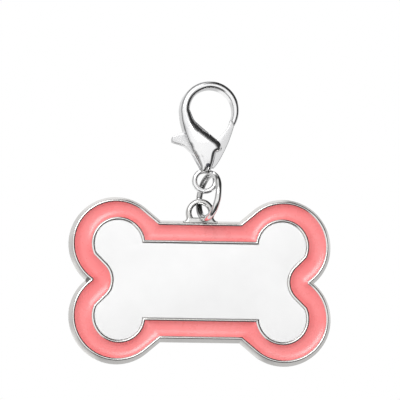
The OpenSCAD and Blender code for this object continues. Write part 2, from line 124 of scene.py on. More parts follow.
def to_mesh(name, verts, faces, sharp=30):
    """Makes an object of vertices in millimetres, smooth but for edges sharper than an angle."""
    mesh = bpy.data.meshes.new(name)
    mesh.from_pydata([tuple(Vector(v) * MM) for v in verts], [], faces)
    bm = bmesh.new()
    bm.from_mesh(mesh)
    bmesh.ops.remove_doubles(bm, verts=bm.verts, dist=WELD)
    bmesh.ops.recalc_face_normals(bm, faces=bm.faces)
    bm.to_mesh(mesh)
    bm.free()
    mesh.shade_smooth()
    mesh.set_sharp_from_angle(angle=math.radians(sharp))
    return put(name, mesh)


def rows_mesh(name, rows, caps=(True, True), ring=False, sharp=30):
    """Skins closed rows of points that match one to one. ring joins the last row to the first."""
    n = len(rows[0])
    verts = [p for row in rows for p in row]
    faces = []
    for i in range(len(rows) if ring else len(rows) - 1):
        a, b = i * n, (i + 1) % len(rows) * n
        for k in range(n):
            j = (k + 1) % n
            faces.append((a + k, a + j, b + j, b + k))
    if caps[0]:
        faces.append(tuple(reversed(range(n))))
    if caps[1]:
        faces.append(tuple(range((len(rows) - 1) * n, len(rows) * n)))
    return to_mesh(name, verts, faces, sharp)


def line(a, b, n):
    """Points from a to b, in n equal steps."""
    return [np.array(a) + (np.array(b) - np.array(a)) * i / n for i in range(n + 1)]


def arc(c, r, a0, a1, n):
    """Points round a centre from one angle to another, in n equal steps."""
    return [np.array([c[0] + r * math.cos(a), c[1] + r * math.sin(a)])
            for a in np.linspace(a0, a1, n + 1)]


def around(n):
    """The angles of n equal steps round a circle, without the last, which is the first."""
    return np.linspace(0, 2 * math.pi, n + 1)[:-1]


def bend(path, r, start, end, steps):
    """Adds an arc to a profile of (inset, depth) pairs. The angles are the slope's, in degrees."""
    i, d = path[-1]
    a0 = math.radians(start)
    return path + [(i + r * (math.sin(a) - math.sin(a0)), d + r * (math.cos(a0) - math.cos(a)))
                   for a in np.linspace(a0, math.radians(end), steps + 1)[1:]]


def lip(start, turn):
    """(inset, depth) pairs over a rim's edge, a slope between two bends: onto a flat, or back."""
    path = bend([(0, 0)], LIP_TOP_R, 0, LIP_TILT, 3)
    slope = math.radians(LIP_TILT)
    i, d = path[-1]
    path += [(i + k * math.cos(slope), d + k * math.sin(slope)) for k in (LIP_RUN * 0.5, LIP_RUN)]
    path = bend(path, LIP_LOW_R, LIP_TILT, 90, 4)
    pairs = [(path[-1][0] - i, d) for i, d in path]
    return [(start[0] + turn * i, start[1] + d) for i, d in (pairs[::-1] if turn > 0 else pairs)]


# Outlines of the bone. Both families have the same number of points, block by block, so that a
# row of one can be skinned to a row of the other.
BAR_N, FLANK_N, LOBE_N, LOW_N, BAY_N = 14, 10, 48, 8, 8
LOBE_SPLIT = math.radians(-25)


def full_loop(quarter):
    """Mirrors the quarter from the bar's top middle to the notch into the whole outline."""
    right = quarter + [np.array([p[0], -p[1]]) for p in quarter[-2::-1]]
    return right + [np.array([-p[0], p[1]]) for p in right[-2:0:-1]]


def outer_loop(inset):
    """The casting's outline, moved inward by the inset."""
    r, top = LOBE_R - inset, BAR_H / 2 - inset
    lobe = np.array([LOBE_X, LOBE_Z])
    touch = lobe + r * np.array([-math.sin(FLANK), math.cos(FLANK)])
    join = np.array([touch[0] - (touch[1] - top) / math.tan(FLANK), top])
    fillet = max(NOTCH_R + inset - EDGE_W, NOTCH_MIN_R)
    notch = np.array([LOBE_X + math.sqrt((r + fillet) ** 2 - LOBE_Z**2), 0])
    last = math.atan2(-LOBE_Z, notch[0] - LOBE_X)
    return full_loop(
        line([0, top], join, BAR_N) + line(join, touch, FLANK_N)[1:]
        + arc(lobe, r, FLANK + math.pi / 2, LOBE_SPLIT, LOBE_N)[1:]
        + arc(lobe, r, LOBE_SPLIT, last, LOW_N)[1:]
        + arc(notch, fillet, last + math.pi, math.pi, BAY_N)[1:])


def inner_loop(inset):
    """The outline of the channel's inner edge and of the plate, on the same scale of insets."""
    r, top = LOBE_R - inset, BAR_H / 2 - inset
    lobe = np.array([PANEL_X, LOBE_Z])
    bay = BAY_R + inset - EDGE_W - CHANNEL_W
    join = np.array([PANEL_X - math.sqrt(r**2 - (top - LOBE_Z) ** 2), top])
    first = math.atan2(top - LOBE_Z, join[0] - PANEL_X)
    away = (PANEL_X - LOBE_Z - BAY_X + bay * math.sqrt(2)) / math.sqrt(2)
    last = -math.pi / 4 + math.acos(-away / r)
    flank_top = lobe + r * np.array([math.cos(last), math.sin(last)])
    flank_low = np.array([BAY_X - bay * math.cos(math.pi / 4), bay * math.sin(math.pi / 4)])
    return full_loop(
        line([0, top], join, BAR_N) + arc(lobe, r, first, FLANK + math.pi / 2, FLANK_N)[1:]
        + arc(lobe, r, FLANK + math.pi / 2, last, LOBE_N)[1:]
        + line(flank_top, flank_low, LOW_N)[1:]
        + arc([BAY_X, 0], bay, 3 * math.pi / 4, math.pi, BAY_N)[1:])


def on_tag(loop, y):
    """Puts a loop of the tag's plane at a depth y of the part."""
    depth = np.broadcast_to(y, len(loop))
    return [(p[0] + TAG_C[0], d, p[1] + TAG_C[1]) for p, d in zip(loop, depth)]


# Tag casting: one closed skin from the back, round the side and the rims, to the recess

def tag_rows():
    """The rows of that skin, each an outline at its own inset and depth."""
    slope = math.atan2(TAG_T - FLARE_H, FLARE_W)
    reach = RIM_OUT_R * math.tan(slope / 2)
    rows = [(BACK_R * (1 - math.sin(a)), BACK - BACK_R * (1 - math.cos(a)))
            for a in np.linspace(0, math.pi / 2, EDGE_N + 1)]
    rows += [(0, BACK - BACK_R - SIDE_ROW), (0, BACK - FLARE_H)]
    rows += [(FLARE_W + reach - RIM_OUT_R * math.sin(a), FRONT + RIM_OUT_R * (1 - math.cos(a)))
             for a in np.linspace(slope, 0, RIM_N + 1)]
    rows += lip((EDGE_W, FRONT), -1)
    rows += [(EDGE_W, FRONT + CHANNEL_D)]
    outer = [on_tag(outer_loop(i), y) for i, y in rows]
    inner_edge = EDGE_W + CHANNEL_W
    rows = [(inner_edge, FRONT + CHANNEL_D)]
    rows += lip((inner_edge, FRONT), 1)
    rows += lip((RECESS_INSET, FRONT), -1)
    rows += [(RECESS_INSET, FRONT + RECESS_D)]
    return outer + [on_tag(inner_loop(i), y) for i, y in rows]


def eye_loop():
    """Outline of the tag's eye and its foot, from the left base over the top to the right base."""
    outer, top = TAG_EYE_R + TAG_EYE_W, BAR_H / 2 - FOOT_SINK
    eye = np.array([0, BAR_H / 2 + EYE_RISE])
    c = np.array([math.sqrt((outer + FOOT_R) ** 2 - (eye[1] - top - FOOT_R) ** 2), top + FOOT_R])
    turn = math.atan2(eye[1] - c[1], -c[0])
    right = arc(eye, outer, math.pi / 2, turn - math.pi, 40)
    right += arc(c, FOOT_R, turn, 1.5 * math.pi, 12)[1:]
    right += [np.array([c[0], top - FLARE_W])]
    left = [np.array([-p[0], p[1]]) for p in right[:0:-1]]
    return left + right, eye


def crossing(a, b, c, d):
    """The point where two short edges cross, or None."""
    r, s, gap = b - a, d - c, c - a
    k = r[0] * s[1] - r[1] * s[0]
    if abs(k) < 1e-12:
        return None
    t, u = (gap[0] * s[1] - gap[1] * s[0]) / k, (gap[0] * r[1] - gap[1] * r[0]) / k
    return a + t * r if 0 <= t <= 1 and 0 <= u <= 1 else None


def inward(loop, d, reach=12):
    """Moves a closed clockwise loop inward by d. Where a tight corner would fold, it closes up."""
    p = np.array(loop)
    run = np.roll(p, -1, 0) - np.roll(p, 1, 0)
    run /= np.linalg.norm(run, axis=1)[:, None]
    p = p + d * np.stack([run[:, 1], -run[:, 0]], 1)
    n = len(p)
    for i in range(n):
        for j in range(i + reach, i + 1, -1):
            hit = crossing(p[i], p[(i + 1) % n], p[j % n], p[(j + 1) % n])
            if hit is not None:
                for k in range(i + 1, j + 1):
                    p[k % n] = hit
                break
    return list(p)


def build_tag_eye():
    """The eye and its foot: half round from back to front outside, and back again in the hole."""
    loop, eye = eye_loop()
    r, half = TAG_EYE_W / 2, TAG_EYE_T / 2
    hole = [eye + TAG_EYE_R * (p - eye) / np.linalg.norm(p - eye) for p in loop]
    turns = [(r * (1 - math.cos(a)), (half - r) * np.sign(round(a, 6)) + r * math.sin(a))
             for a in np.linspace(-math.pi / 2, math.pi / 2, TAG_EYE_N + 1)]
    rows = [on_tag(inward(loop, d), y) for d, y in turns]
    rows += [on_tag([eye + (TAG_EYE_R + d) * (p - eye) / TAG_EYE_R for p in hole], y)
             for d, y in turns[::-1]]
    return rows_mesh("tag_eye", rows, caps=(False, False), ring=True, sharp=60)


tag_body = rows_mesh("tag_body", tag_rows(), sharp=24)
tag_eye = build_tag_eye()


# Enamel with a surface hollowed across the channel

def build_enamel():
    outer = np.array(outer_loop(EDGE_W + SEAT))
    inner = np.array(inner_loop(EDGE_W + CHANNEL_W - SEAT))
    low = FRONT + CHANNEL_D - SEAT
    rows = [on_tag(outer, low)]
    for i in range(ENAMEL_N + 1):
        t = 0.5 - 0.5 * math.cos(math.pi * i / ENAMEL_N)
        sag = 1 - abs(2 * t - 1) ** DISH_FULLNESS
        rows.append(on_tag(outer + (inner - outer) * t, FRONT + ENAMEL_DROP + ENAMEL_DISH * sag))
    rows.append(on_tag(inner, low))
    return rows_mesh("enamel_fill", rows, caps=(False, False), ring=True, sharp=50)


enamel = build_enamel()


# Blank plate in the recess, with a rolled edge

def build_plate():
    edge, face = RECESS_INSET + PLATE_GAP, FRONT + RECESS_D - FILM_T - 2 * SEAT - PLATE_T
    rows = [(edge, face + PLATE_T)]
    rows += [(edge + PLATE_EDGE_R - i, face + d)
             for i, d in bend([(0, 0)], PLATE_EDGE_R, 0, 90, 4)[::-1]]
    return rows_mesh("blank_plate", [on_tag(inner_loop(i), y) for i, y in rows], sharp=40)


plate = build_plate()


# Jump ring: the wire's circle leans between the eyes, with its butt joint on the hidden arm

def build_ring():
    a, b = (np.array([p[0], 0, p[1]]) for p in (WIRE_TOP, WIRE_LOW))
    chord, middle = np.linalg.norm(a - b), (a + b) / 2
    up = (a - b) / chord
    side = np.cross([0, 1, 0], up)
    out = math.cos(RING_TURN) * side - math.sin(RING_TURN) * np.array([0, 1, 0])
    centre = middle + math.sqrt(RING_R**2 - (chord / 2) ** 2) * out
    normal = np.cross(up, out)
    cut, wire = RING_CUT / 2 / RING_R, RING_WIRE / 2
    stops = [(cut + run * WIRE_END_R / RING_R, wire - loss * WIRE_END_R)
             for run, loss in WIRE_END_SHARES]
    stops += [(t, wire) for t in np.linspace(cut + WIRE_END_R / RING_R, math.pi, RING_N + 1)]
    stops += [(2 * math.pi - t, w) for t, w in stops[-2::-1]]
    rows = []
    for t, w in stops:
        spoke = math.cos(t + math.pi) * out + math.sin(t + math.pi) * up
        rows.append([centre + (RING_R + w * math.cos(k)) * spoke + w * math.sin(k) * normal
                     for k in around(WIRE_N)])
    return rows_mesh("wire_ring", rows, sharp=50)


ring = build_ring()


# Clasp body: a fine loft joined with the eye, then the eye's hole and the lever's slot cut out

def catmull(points, steps):
    """Smooth curve through rows of numbers, with the given number of steps between two rows."""
    p = np.array(points, float)
    out = []
    for s in np.linspace(0, len(p) - 1, (len(p) - 1) * steps + 1):
        i = min(int(s), len(p) - 2)
        t = s - i
        a, b, c, d = p[max(i - 1, 0)], p[i], p[i + 1], p[min(i + 2, len(p) - 1)]
        out.append(0.5 * (2 * b + (c - a) * t + (2 * a - 5 * b + 4 * c - d) * t**2
                          + (3 * b - a - 3 * c + d) * t**3))
    return np.array(out)


def hook_section(a):
    """Inner and outer point and half thickness of the hook at an angle in degrees."""
    if a < 90:
        w = TIP_W + (TOP_W - TIP_W) * (a + TIP_A) / (90 + TIP_A)
    else:
        w = TOP_W + (ROOT_W - TOP_W) * (a / 90 - 1)
    lean = TIP_SLANT / 2 * max(0, 1 - (a + TIP_A) / TIP_A)
    ends = [HOOK_C + (HOOK_R + s * w / 2) * np.array([math.cos(t), math.sin(t)])
            for s, t in ((-1, math.radians(a + lean)), (1, math.radians(a - lean)))]
    half = (TIP_T + (ROOT_T - TIP_T) * ((a + TIP_A) / (180 + TIP_A)) ** HOOK_GROWTH) / 2
    return [*ends[0], *ends[1], half]


# Each station of the bulb: depth as a share of the body's length, left and right edge as shares
# of the bulb's width, and thickness as a share of the bulb's
STATIONS = [
    (0.138, -0.130, 0.305, 0.83), (0.217, -0.085, 0.481, 0.87), (0.310, -0.018, 0.736, 0.93),
    (0.451, 0.110, 1.120, 1.00), (0.510, 0.178, 1.210, 0.995), (0.545, 0.218, 1.245, 0.985),
    (0.570, 0.239, 1.230, 0.976), (0.590, 0.255, 1.145, 0.966), (0.606, 0.271, 1.045, 0.957),
    (0.666, 0.338, 1.005, 0.905), (0.748, 0.442, 0.965, 0.79), (0.815, 0.515, 0.915, 0.67),
    (0.868, 0.510, 0.900, 0.50), (0.904, 0.500, 0.905, 0.20),
]


def bulb_sections(steps):
    """The bulb's sections, like the hook's, with the given number of steps between stations."""
    rows = [(0, -ROOT_W / 2, ROOT_W / 2, ROOT_T / 2)]
    rows += [(d * BODY_L, l * BULB_W, r * BULB_W, t * BULB_T / 2) for d, l, r, t in STATIONS]
    x = HOOK_C[0] - HOOK_R
    return [[x + right, HOOK_C[1] - d, x + left, HOOK_C[1] - d, half]
            for d, left, right, half in catmull(rows, steps)]


def edge_distance(points, chain):
    """Shortest distance from each point to a chain of straight edges."""
    p, a, b = np.array(points)[:, None], np.array(chain[:-1]), np.array(chain[1:])
    run = b - a
    t = np.clip(((p - a) * run).sum(2) / (run**2).sum(1), 0, 1)
    return np.sqrt(((p - a - t[..., None] * run) ** 2).sum(2)).min(1)


def clasp_rows(across=56, down=5):
    """Each section has a face rounded by the distance to the outline, flat sides and a like back.

    The inner edge's two parts, before and after the bulb's beak, round off its corner together.
    """
    hook = [hook_section(a) for a in np.linspace(-TIP_A, 180, HOOK_N + 1)]
    sections = hook + bulb_sections(steps=10)[1:]
    inner = [s[0:2] for s in sections]
    outer = [s[2:4] for s in sections]
    beak = len(hook) + int(np.argmax([p[0] for p in inner[len(hook):]]))
    edges = ((((inner[:beak + 1], 1), (inner[beak:], UNDER_SHARE)), ROUND_IN, LOSS_IN),
             (((outer, 1),), ROUND_OUT, LOSS_OUT))
    rows = []
    for x0, z0, x1, z1, half in sections:
        a, b = np.array([x0, z0]), np.array([x1, z1])
        width = np.linalg.norm(b - a)
        bulb = np.clip(2 * (width - ROOT_W) / BULB_W, 0, 1)
        face = [(a + b) / 2 - (b - a) / 2 * math.cos(k) for k in np.linspace(0, math.pi, across)]
        depth = half
        for chains, limit, loss in edges:
            r = min(limit, width / 2, DEPTH_SHARE * half)
            turned = sum(np.clip(1 - loss * bulb - edge_distance(face, c) / (r * share), 0, 1) ** 2
                         for c, share in chains)
            depth = depth - r * (1 - np.sqrt(np.clip(1 - turned, 0, 1)))
        row = [(p[0], -y, p[1]) for p, y in zip(face, depth)]
        row += [(b[0], y, b[1]) for y in np.linspace(-depth[-1], depth[-1], down)[1:-1]]
        row += [(p[0], y, p[1]) for p, y in zip(face[::-1], depth[::-1])]
        row += [(a[0], y, a[1]) for y in np.linspace(depth[0], -depth[0], down)[1:-1]]
        rows.append(row)
    return rows


def eye_rows(c, hole, width, thickness):
    """Ring with a rounded section, standing in the plane of the part."""
    r = min(width, thickness) / 2
    section = []
    for a in around(SECTION_N):
        y = r * math.sin(a)
        y += (thickness / 2 - r) * np.sign(round(y, 6))
        section.append((hole + width / 2 + r * math.cos(a), y))
    return [[(c[0] + d * math.cos(t), y, c[1] + d * math.sin(t)) for d, y in section]
            for t in around(CIRCLE_N)]


def lever_frame():
    """The rivet's place, the lever's length and its two directions, as in the CAD source."""
    z = CLASP_EYE[1] + CLASP_EYE_R + NECK_H + STOP_GAP + HUB_R
    rows = np.array(bulb_sections(steps=3))
    right, left = (np.interp(-z, -rows[:, 1], rows[:, k]) for k in (0, 2))
    rivet = np.array([(left + right) / 2 + RIVET_SIDE_SHARE * (right - left) / 2, z])
    tip = hook_section(-TIP_A)
    tip_in, tip_out = np.array(tip[:2]), np.array(tip[2:4])
    along = (tip_in + tip_out) / 2 - rivet
    length = np.linalg.norm(along)
    along = along / length
    across = (tip_out - tip_in) / np.linalg.norm(tip_out - tip_in)
    off = NOSE_GAP * np.array([across[1], -across[0]])
    return rivet, length, along, np.array([-along[1], along[0]]), tip_in + off, tip_out + off


RIVET, LEVER_L, LEVER_X, LEVER_Y, NOSE_IN, NOSE_OUT = lever_frame()


def lever_points(shares):
    """Points from shares of the lever's length, along it from the rivet and across it."""
    return [RIVET + LEVER_L * (x * LEVER_X + y * LEVER_Y) for x, y in shares]


# The web between the bulb's walls, which stops the lever and seats the spring
WEB = lever_points([(0.340, 0.900), (0.348, 0.727), (0.286, 0.574), (0.150, 0.336), (0.275, 0.409),
                    (0.402, 0.418), (0.583, 0.501)])


def prism(name, loop, half):
    """Plain block of an outline between two depths, used as a cutter."""
    n = len(loop)
    verts = [(p[0], y, p[1]) for y in (-half, half) for p in loop]
    faces = [tuple(range(n)), tuple(reversed(range(n, 2 * n)))]
    faces += [(k, k + n, (k + 1) % n + n, (k + 1) % n) for k in range(n)]
    return to_mesh(name, verts, faces)


def apply_all(obj):
    """Bakes an object's modifiers into its mesh."""
    graph = bpy.context.evaluated_depsgraph_get()
    mesh = bpy.data.meshes.new_from_object(obj.evaluated_get(graph))
    obj.modifiers.clear()
    obj.data = mesh


def boolean(obj, other, operation):
    """Adds the other object to this one or cuts it out, and deletes it."""
    mod = obj.modifiers.new(operation, "BOOLEAN")
    mod.operation, mod.object, mod.solver = operation, other, "EXACT"
    apply_all(obj)
    bpy.data.objects.remove(other)


def build_clasp():
    body = rows_mesh("clasp_casting", clasp_rows())
    eye = eye_rows(CLASP_EYE, CLASP_EYE_R, CLASP_EYE_W, CLASP_EYE_T)
    boolean(body, rows_mesh("eye", eye, (False, False), ring=True), "UNION")
    rim = [CLASP_EYE + CLASP_EYE_R * np.array([math.cos(a), math.sin(a)]) for a in around(CIRCLE_N)]
    hole = [[(p[0], y, p[1]) for p in rim] for y in (-BULB_T, BULB_T)]
    boolean(body, rows_mesh("hole", hole), "DIFFERENCE")
    right, left = RIVET[0] + SLOT_REACH_SHARE * BULB_W, RIVET[0] - 2 * BULB_W
    floor = CLASP_EYE[1] + CLASP_EYE_R + NECK_H
    corners = ((right, WEB[-1][1]), (right, floor), (left, floor), (left, WEB[0][1]))
    boolean(body, prism("slot", WEB + [np.array(p) for p in corners], SLOT_W / 2), "DIFFERENCE")
    body.data.shade_smooth()
    body.data.set_sharp_from_angle(angle=math.radians(50))
    return body


clasp = build_clasp()


# Rivet with a low rounded head at both ends

def build_rivet(sides=40):
    sections = np.array([[r[1], r[4]] for r in bulb_sections(steps=8)])
    edge = np.interp(-RIVET[1] - RIVET_R, -sections[:, 0], sections[:, 1]) - RIVET_SINK
    head = [(RIVET_R * math.cos(a), edge + RIVET_DOME * math.sin(a))
            for a in np.linspace(0, RIVET_CAP, HEAD_N + 1)]
    profile = [(r, -y) for r, y in head[::-1]] + head
    rows = [[(RIVET[0] + r * math.cos(t), y, RIVET[1] + r * math.sin(t)) for t in around(sides)]
            for r, y in profile]
    return rows_mesh("rivet_pin", rows, sharp=50)


rivet = build_rivet()


# Lever: gate and thumb tab in one piece, with rolled edges

def build_lever():
    def smooth(points):
        return list(catmull(points, CURVE_N))

    back = smooth([NOSE_OUT] + lever_points([(0.762, -0.099), (0.549, -0.133), (0.327, -0.149),
                                             (0.166, -0.152), (0.045, -0.140)]))
    under = smooth(lever_points([(-0.045, 0.075), (-0.004, 0.150), (0.046, 0.286), (0.080, 0.442),
                                 (0.107, 0.577), (0.092, 0.681), (0.062, 0.790)]))
    end = smooth(lever_points([(0.056, 0.828), (0.082, 0.853), (0.138, 0.878), (0.160, 0.866)]))
    over = smooth(lever_points([(0.278, 0.789), (0.322, 0.742), (0.318, 0.690), (0.262, 0.572),
                                (0.176, 0.420), (0.119, 0.320), (0.114, 0.240), (0.152, 0.160),
                                (0.205, 0.096), (0.277, 0.079), (0.410, 0.132), (0.530, 0.109),
                                (0.632, 0.077), (0.768, 0.042), (0.912, 0.035)]) + [NOSE_IN])
    hub = arc(RIVET, HUB_R, HUB_FROM, HUB_TO, 12)
    loop = back + hub + under + end + over
    half, r = SLOT_W / 2 - LEVER_GAP, LEVER_EDGE_R
    rows = []
    for side in (-1, 1):
        edge = [(r * (1 - math.sin(a)), side * (half - r * (1 - math.cos(a))))
                for a in np.linspace(0, math.pi / 2, EDGE_N + 1)]
        rows += [[(p[0], y, p[1]) for p in inward(loop, d)] for d, y in edge[::-side]]
    return rows_mesh("gate_lever", rows, sharp=42)


lever = build_lever()


# Materials

def nodes_of(name):
    """A new material, its nodes, its links and its shader."""
    mat = bpy.data.materials.new(name)
    mat.use_nodes = True
    return mat, mat.node_tree.nodes, mat.node_tree.links, mat.node_tree.nodes["Principled BSDF"]


def noise(nodes, links, scale, detail=3):
    """Noise over the object's own coordinates, in metres."""
    place, tex = nodes.new("ShaderNodeTexCoord"), nodes.new("ShaderNodeTexNoise")
    tex.inputs["Scale"].default_value = scale
    tex.inputs["Detail"].default_value = detail
    links.new(place.outputs["Object"], tex.inputs["Vector"])
    return tex.outputs["Fac"]


def ramp(nodes, links, value, stops):
    """Turns a value into a colour between those of the stops."""
    node = nodes.new("ShaderNodeValToRGB")
    while len(node.color_ramp.elements) < len(stops):
        node.color_ramp.elements.new(0.5)
    for e, (pos, colour) in zip(node.color_ramp.elements, stops):
        e.position, e.color = pos, (*colour, 1)
    links.new(value, node.inputs["Fac"])
    return node.outputs["Color"]


def spread(nodes, links, value, low, high):
    """Moves a value from 0 to 1 into a range of its own."""
    node = nodes.new("ShaderNodeMapRange")
    node.inputs["To Min"].default_value, node.inputs["To Max"].default_value = low, high
    links.new(value, node.inputs["Value"])
    return node.outputs["Result"]


def bump(nodes, links, height, distance, strength=0.3):
    """Small relief from a height. The distance is in metres."""
    node = nodes.new("ShaderNodeBump")
    node.inputs["Strength"].default_value = strength
    node.inputs["Distance"].default_value = distance
    links.new(height, node.inputs["Height"])
    return node.outputs["Normal"]


# Plating: the noise scales of its tint clouds, polish and waves, how far the polish strays as
# shares of the roughness, and how openness in crevices turns into painted shade
CLOUDS, GRAIN, WAVES = 260, 2500, 420
POLISH_LOW, POLISH_HIGH = 0.6, 1.5
CREVICE_SHADE_STOPS = [(0.45, (0.25,) * 3), (0.85, (1.0,) * 3)]


def plated(name, light, dark, rough, waves=0.0, crevice_shade=0.0):
    """Bright plating: slight tint clouds, uneven polish, faint casting waves and painted shade in
    crevices.

    waves is their height and the last argument the reach of the painted shade, both in millimetres.
    """
    mat, nodes, links, shader = nodes_of(name)
    shader.inputs["Metallic"].default_value = 1
    tint = ramp(nodes, links, noise(nodes, links, CLOUDS, 4), [(0.3, dark), (0.7, light)])
    # Painted shade: the colour darkens where ambient occlusion finds the surface closed in, as in
    # crevices and where parts pass close, standing in for their shadow
    if crevice_shade:
        near = nodes.new("ShaderNodeAmbientOcclusion")
        near.samples = 8
        near.inputs["Distance"].default_value = crevice_shade * MM
        painted_shade = nodes.new("ShaderNodeMix")
        painted_shade.data_type, painted_shade.blend_type = "RGBA", "MULTIPLY"
        painted_shade.inputs["Factor"].default_value = 1
        links.new(tint, painted_shade.inputs["A"])
        links.new(ramp(nodes, links, near.outputs["AO"], CREVICE_SHADE_STOPS), painted_shade.inputs["B"])
        tint = painted_shade.outputs["Result"]
    links.new(tint, shader.inputs["Base Color"])
    fine = noise(nodes, links, GRAIN, 5)
    polish = spread(nodes, links, fine, rough * POLISH_LOW, rough * POLISH_HIGH)
    links.new(polish, shader.inputs["Roughness"])
    if waves:
        relief = bump(nodes, links, noise(nodes, links, WAVES, 2), distance=waves * MM)
        links.new(relief, shader.inputs["Normal"])
    return mat


silver = plated("tag_plating", (0.89, 0.875, 0.855), (0.82, 0.805, 0.785), 0.16, waves=0.05)
chrome = plated("clasp_plating", (0.95, 0.95, 0.95), (0.89, 0.89, 0.90), 0.14, waves=0.05)
satin = plated("lever_plating", (0.77, 0.77, 0.77), (0.71, 0.71, 0.72), 0.14, waves=0.04)
# The ring and the tag's eye get painted shade in their crevices and where they pass each other
wire = plated("ring_plating", (0.90, 0.90, 0.89), (0.80, 0.80, 0.80), 0.12, waves=0.03, crevice_shade=1.6)
# Painted shade: the tag's eye wears a darker copy of the tag's plating, standing in for the grey
# shading on its round section
shaded_eye_silver = plated("eye_plating_shaded", (0.77, 0.765, 0.75), (0.64, 0.635, 0.625), 0.16, waves=0.05,
                    crevice_shade=1.6)
# Painted shade: the rivet's head is near black, standing in for the shadow of the recess it sits in
painted_rivet_shade = plated("rivet_steel_painted_shade", (0.09, 0.09, 0.10), (0.05, 0.05, 0.06), 0.35)
coil_steel = plated("coil_steel", (0.50, 0.50, 0.52), (0.40, 0.40, 0.42), 0.3)


def enamel_material():
    """Pink enamel: a clouded base under a soft clear coat."""
    mat, nodes, links, shader = nodes_of("pink_enamel")
    tint = ramp(nodes, links, noise(nodes, links, scale=120),
                [(0.35, (0.985, 0.208, 0.214)), (0.65, (0.995, 0.262, 0.265))])
    links.new(tint, shader.inputs["Base Color"])
    polish = spread(nodes, links, noise(nodes, links, scale=900), low=0.22, high=0.34)
    links.new(polish, shader.inputs["Roughness"])
    shader.inputs["Coat Weight"].default_value = 1
    shader.inputs["Coat Roughness"].default_value = 0.27
    relief = bump(nodes, links, noise(nodes, links, scale=500, detail=2), distance=0.02 * MM)
    links.new(relief, shader.inputs["Normal"])
    return mat


def plate_material():
    """White coat with a faint grain."""
    mat, nodes, links, shader = nodes_of("white_coat")
    tint = ramp(nodes, links, noise(nodes, links, scale=300),
                [(0.3, (0.905,) * 3), (0.7, (0.925,) * 3)])
    links.new(tint, shader.inputs["Base Color"])
    fine = noise(nodes, links, scale=6000, detail=4)
    links.new(spread(nodes, links, fine, low=0.5, high=0.62), shader.inputs["Roughness"])
    relief = bump(nodes, links, fine, distance=0.01 * MM, strength=0.2)
    links.new(relief, shader.inputs["Normal"])
    return mat


def film_material():
    """Adhesive film, unevenly yellow."""
    mat, nodes, links, shader = nodes_of("film")
    tint = ramp(nodes, links, noise(nodes, links, scale=800),
                [(0.3, (0.80, 0.77, 0.70)), (0.7, (0.86, 0.84, 0.77))])
    links.new(tint, shader.inputs["Base Color"])
    shader.inputs["Roughness"].default_value = 0.5
    return mat


def dress(obj, mat, body, slot, *replaced):
    """Gives a piece its material, the body that it rides on and the nodes it replaces; the slot is
    not used.
    """
    obj.data.materials.clear()
    obj.data.materials.append(mat)
    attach(obj, body)
    if replaced:
        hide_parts(*replaced)


dress(tag_body, silver, "tag", "tag_metal", "tag_casting")
dress(tag_eye, shaded_eye_silver, "tag", "tag_metal")
dress(enamel, enamel_material(), "tag", "enamel", "enamel_inlay")
dress(plate, plate_material(), "tag", "plate", "name_plate")
dress(ring, wire, "ring", "ring_wire", "jump_ring")
dress(clasp, chrome, "clasp", "clasp_metal", "clasp_body")
dress(lever, satin, "lever", "lever_metal", "clasp_lever")
dress(rivet, painted_rivet_shade, "clasp", "rivet_metal", "lever_rivet")
for node, mat in (("adhesive_film", film_material()), ("lever_spring", coil_steel)):
    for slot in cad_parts[node].material_slots:
        slot.material = mat


# Stage: floor, light, cards and camera, in metres

MIDDLE = Vector((-1.858, 0, -21.16)) * MM
AZIMUTH = ELEVATION = math.radians(-7.5)
VIEW_BACK = Vector((math.sin(AZIMUTH) * math.cos(ELEVATION),
                    -math.cos(AZIMUTH) * math.cos(ELEVATION), math.sin(ELEVATION)))
CAMERA_AWAY, VIEW_WIDTH, SENSOR_WIDTH, VIEW_END = 1.5, 75.68 * MM, 36, 20
FLOOR_SIZE, FLOOR_Z, WORLD_LIGHT = 3.0, -0.56, 0.42
KEY_PLACE, FILL_PLACE = (-0.14, -0.66, 0.40), (0.6, -0.5, 0.1)

# Each card: the directions in the picture where it starts and ends, in degrees from the right
# round to the top, the angles off the camera's axis where it starts and ends, and its brightness
CARDS = [
    # Right, with a soft inner edge
    (-5, 20, 52, 105, 0.03), (20, 80, 52, 145, 0.03), (-5, 80, 45, 52, 0.12),
    (-5, 80, 38, 45, 0.35), (-5, 80, 29, 38, 0.68),
    # Top and left
    (80, 135, 88, 118, 0.12), (80, 135, 46, 88, 0.74), (135, 170, 72, 105, 0.30),
    (135, 170, 52, 72, 0.78), (170, 200, 82, 105, 0.20), (170, 200, 62, 82, 0.72),
    # Below
    (200, 240, 70, 105, 0.15), (200, 240, 56, 70, 0.60), (240, 320, 34, 105, 0.05),
    (240, 320, 26, 34, 0.45), (320, 355, 50, 105, 0.06), (320, 355, 40, 50, 0.40),
    # Behind the part
    (-5, 20, 105, 178, 0.75), (20, 80, 145, 178, 0.80), (80, 105, 118, 178, 0.88),
    (105, 135, 118, 178, 0.90), (135, 170, 105, 178, 0.74), (170, 200, 105, 178, 0.68),
    (200, 245, 105, 178, 0.95), (245, 355, 105, 178, 0.59),
]
CARDS_AWAY, CARDS_STEP, CARDS_FIRST = 0.5, 2, 18


def background_rays(nodes, links):
    """1 for the rays that see the background: camera, glossy and transmission rays."""
    path = nodes.new("ShaderNodeLightPath")
    total = path.outputs["Is Camera Ray"]
    for ray in ("Is Glossy Ray", "Is Transmission Ray"):
        add = nodes.new("ShaderNodeMath")
        add.operation, add.use_clamp = "ADD", True
        links.new(total, add.inputs[0])
        links.new(path.outputs[ray], add.inputs[1])
        total = add.outputs[0]
    return total


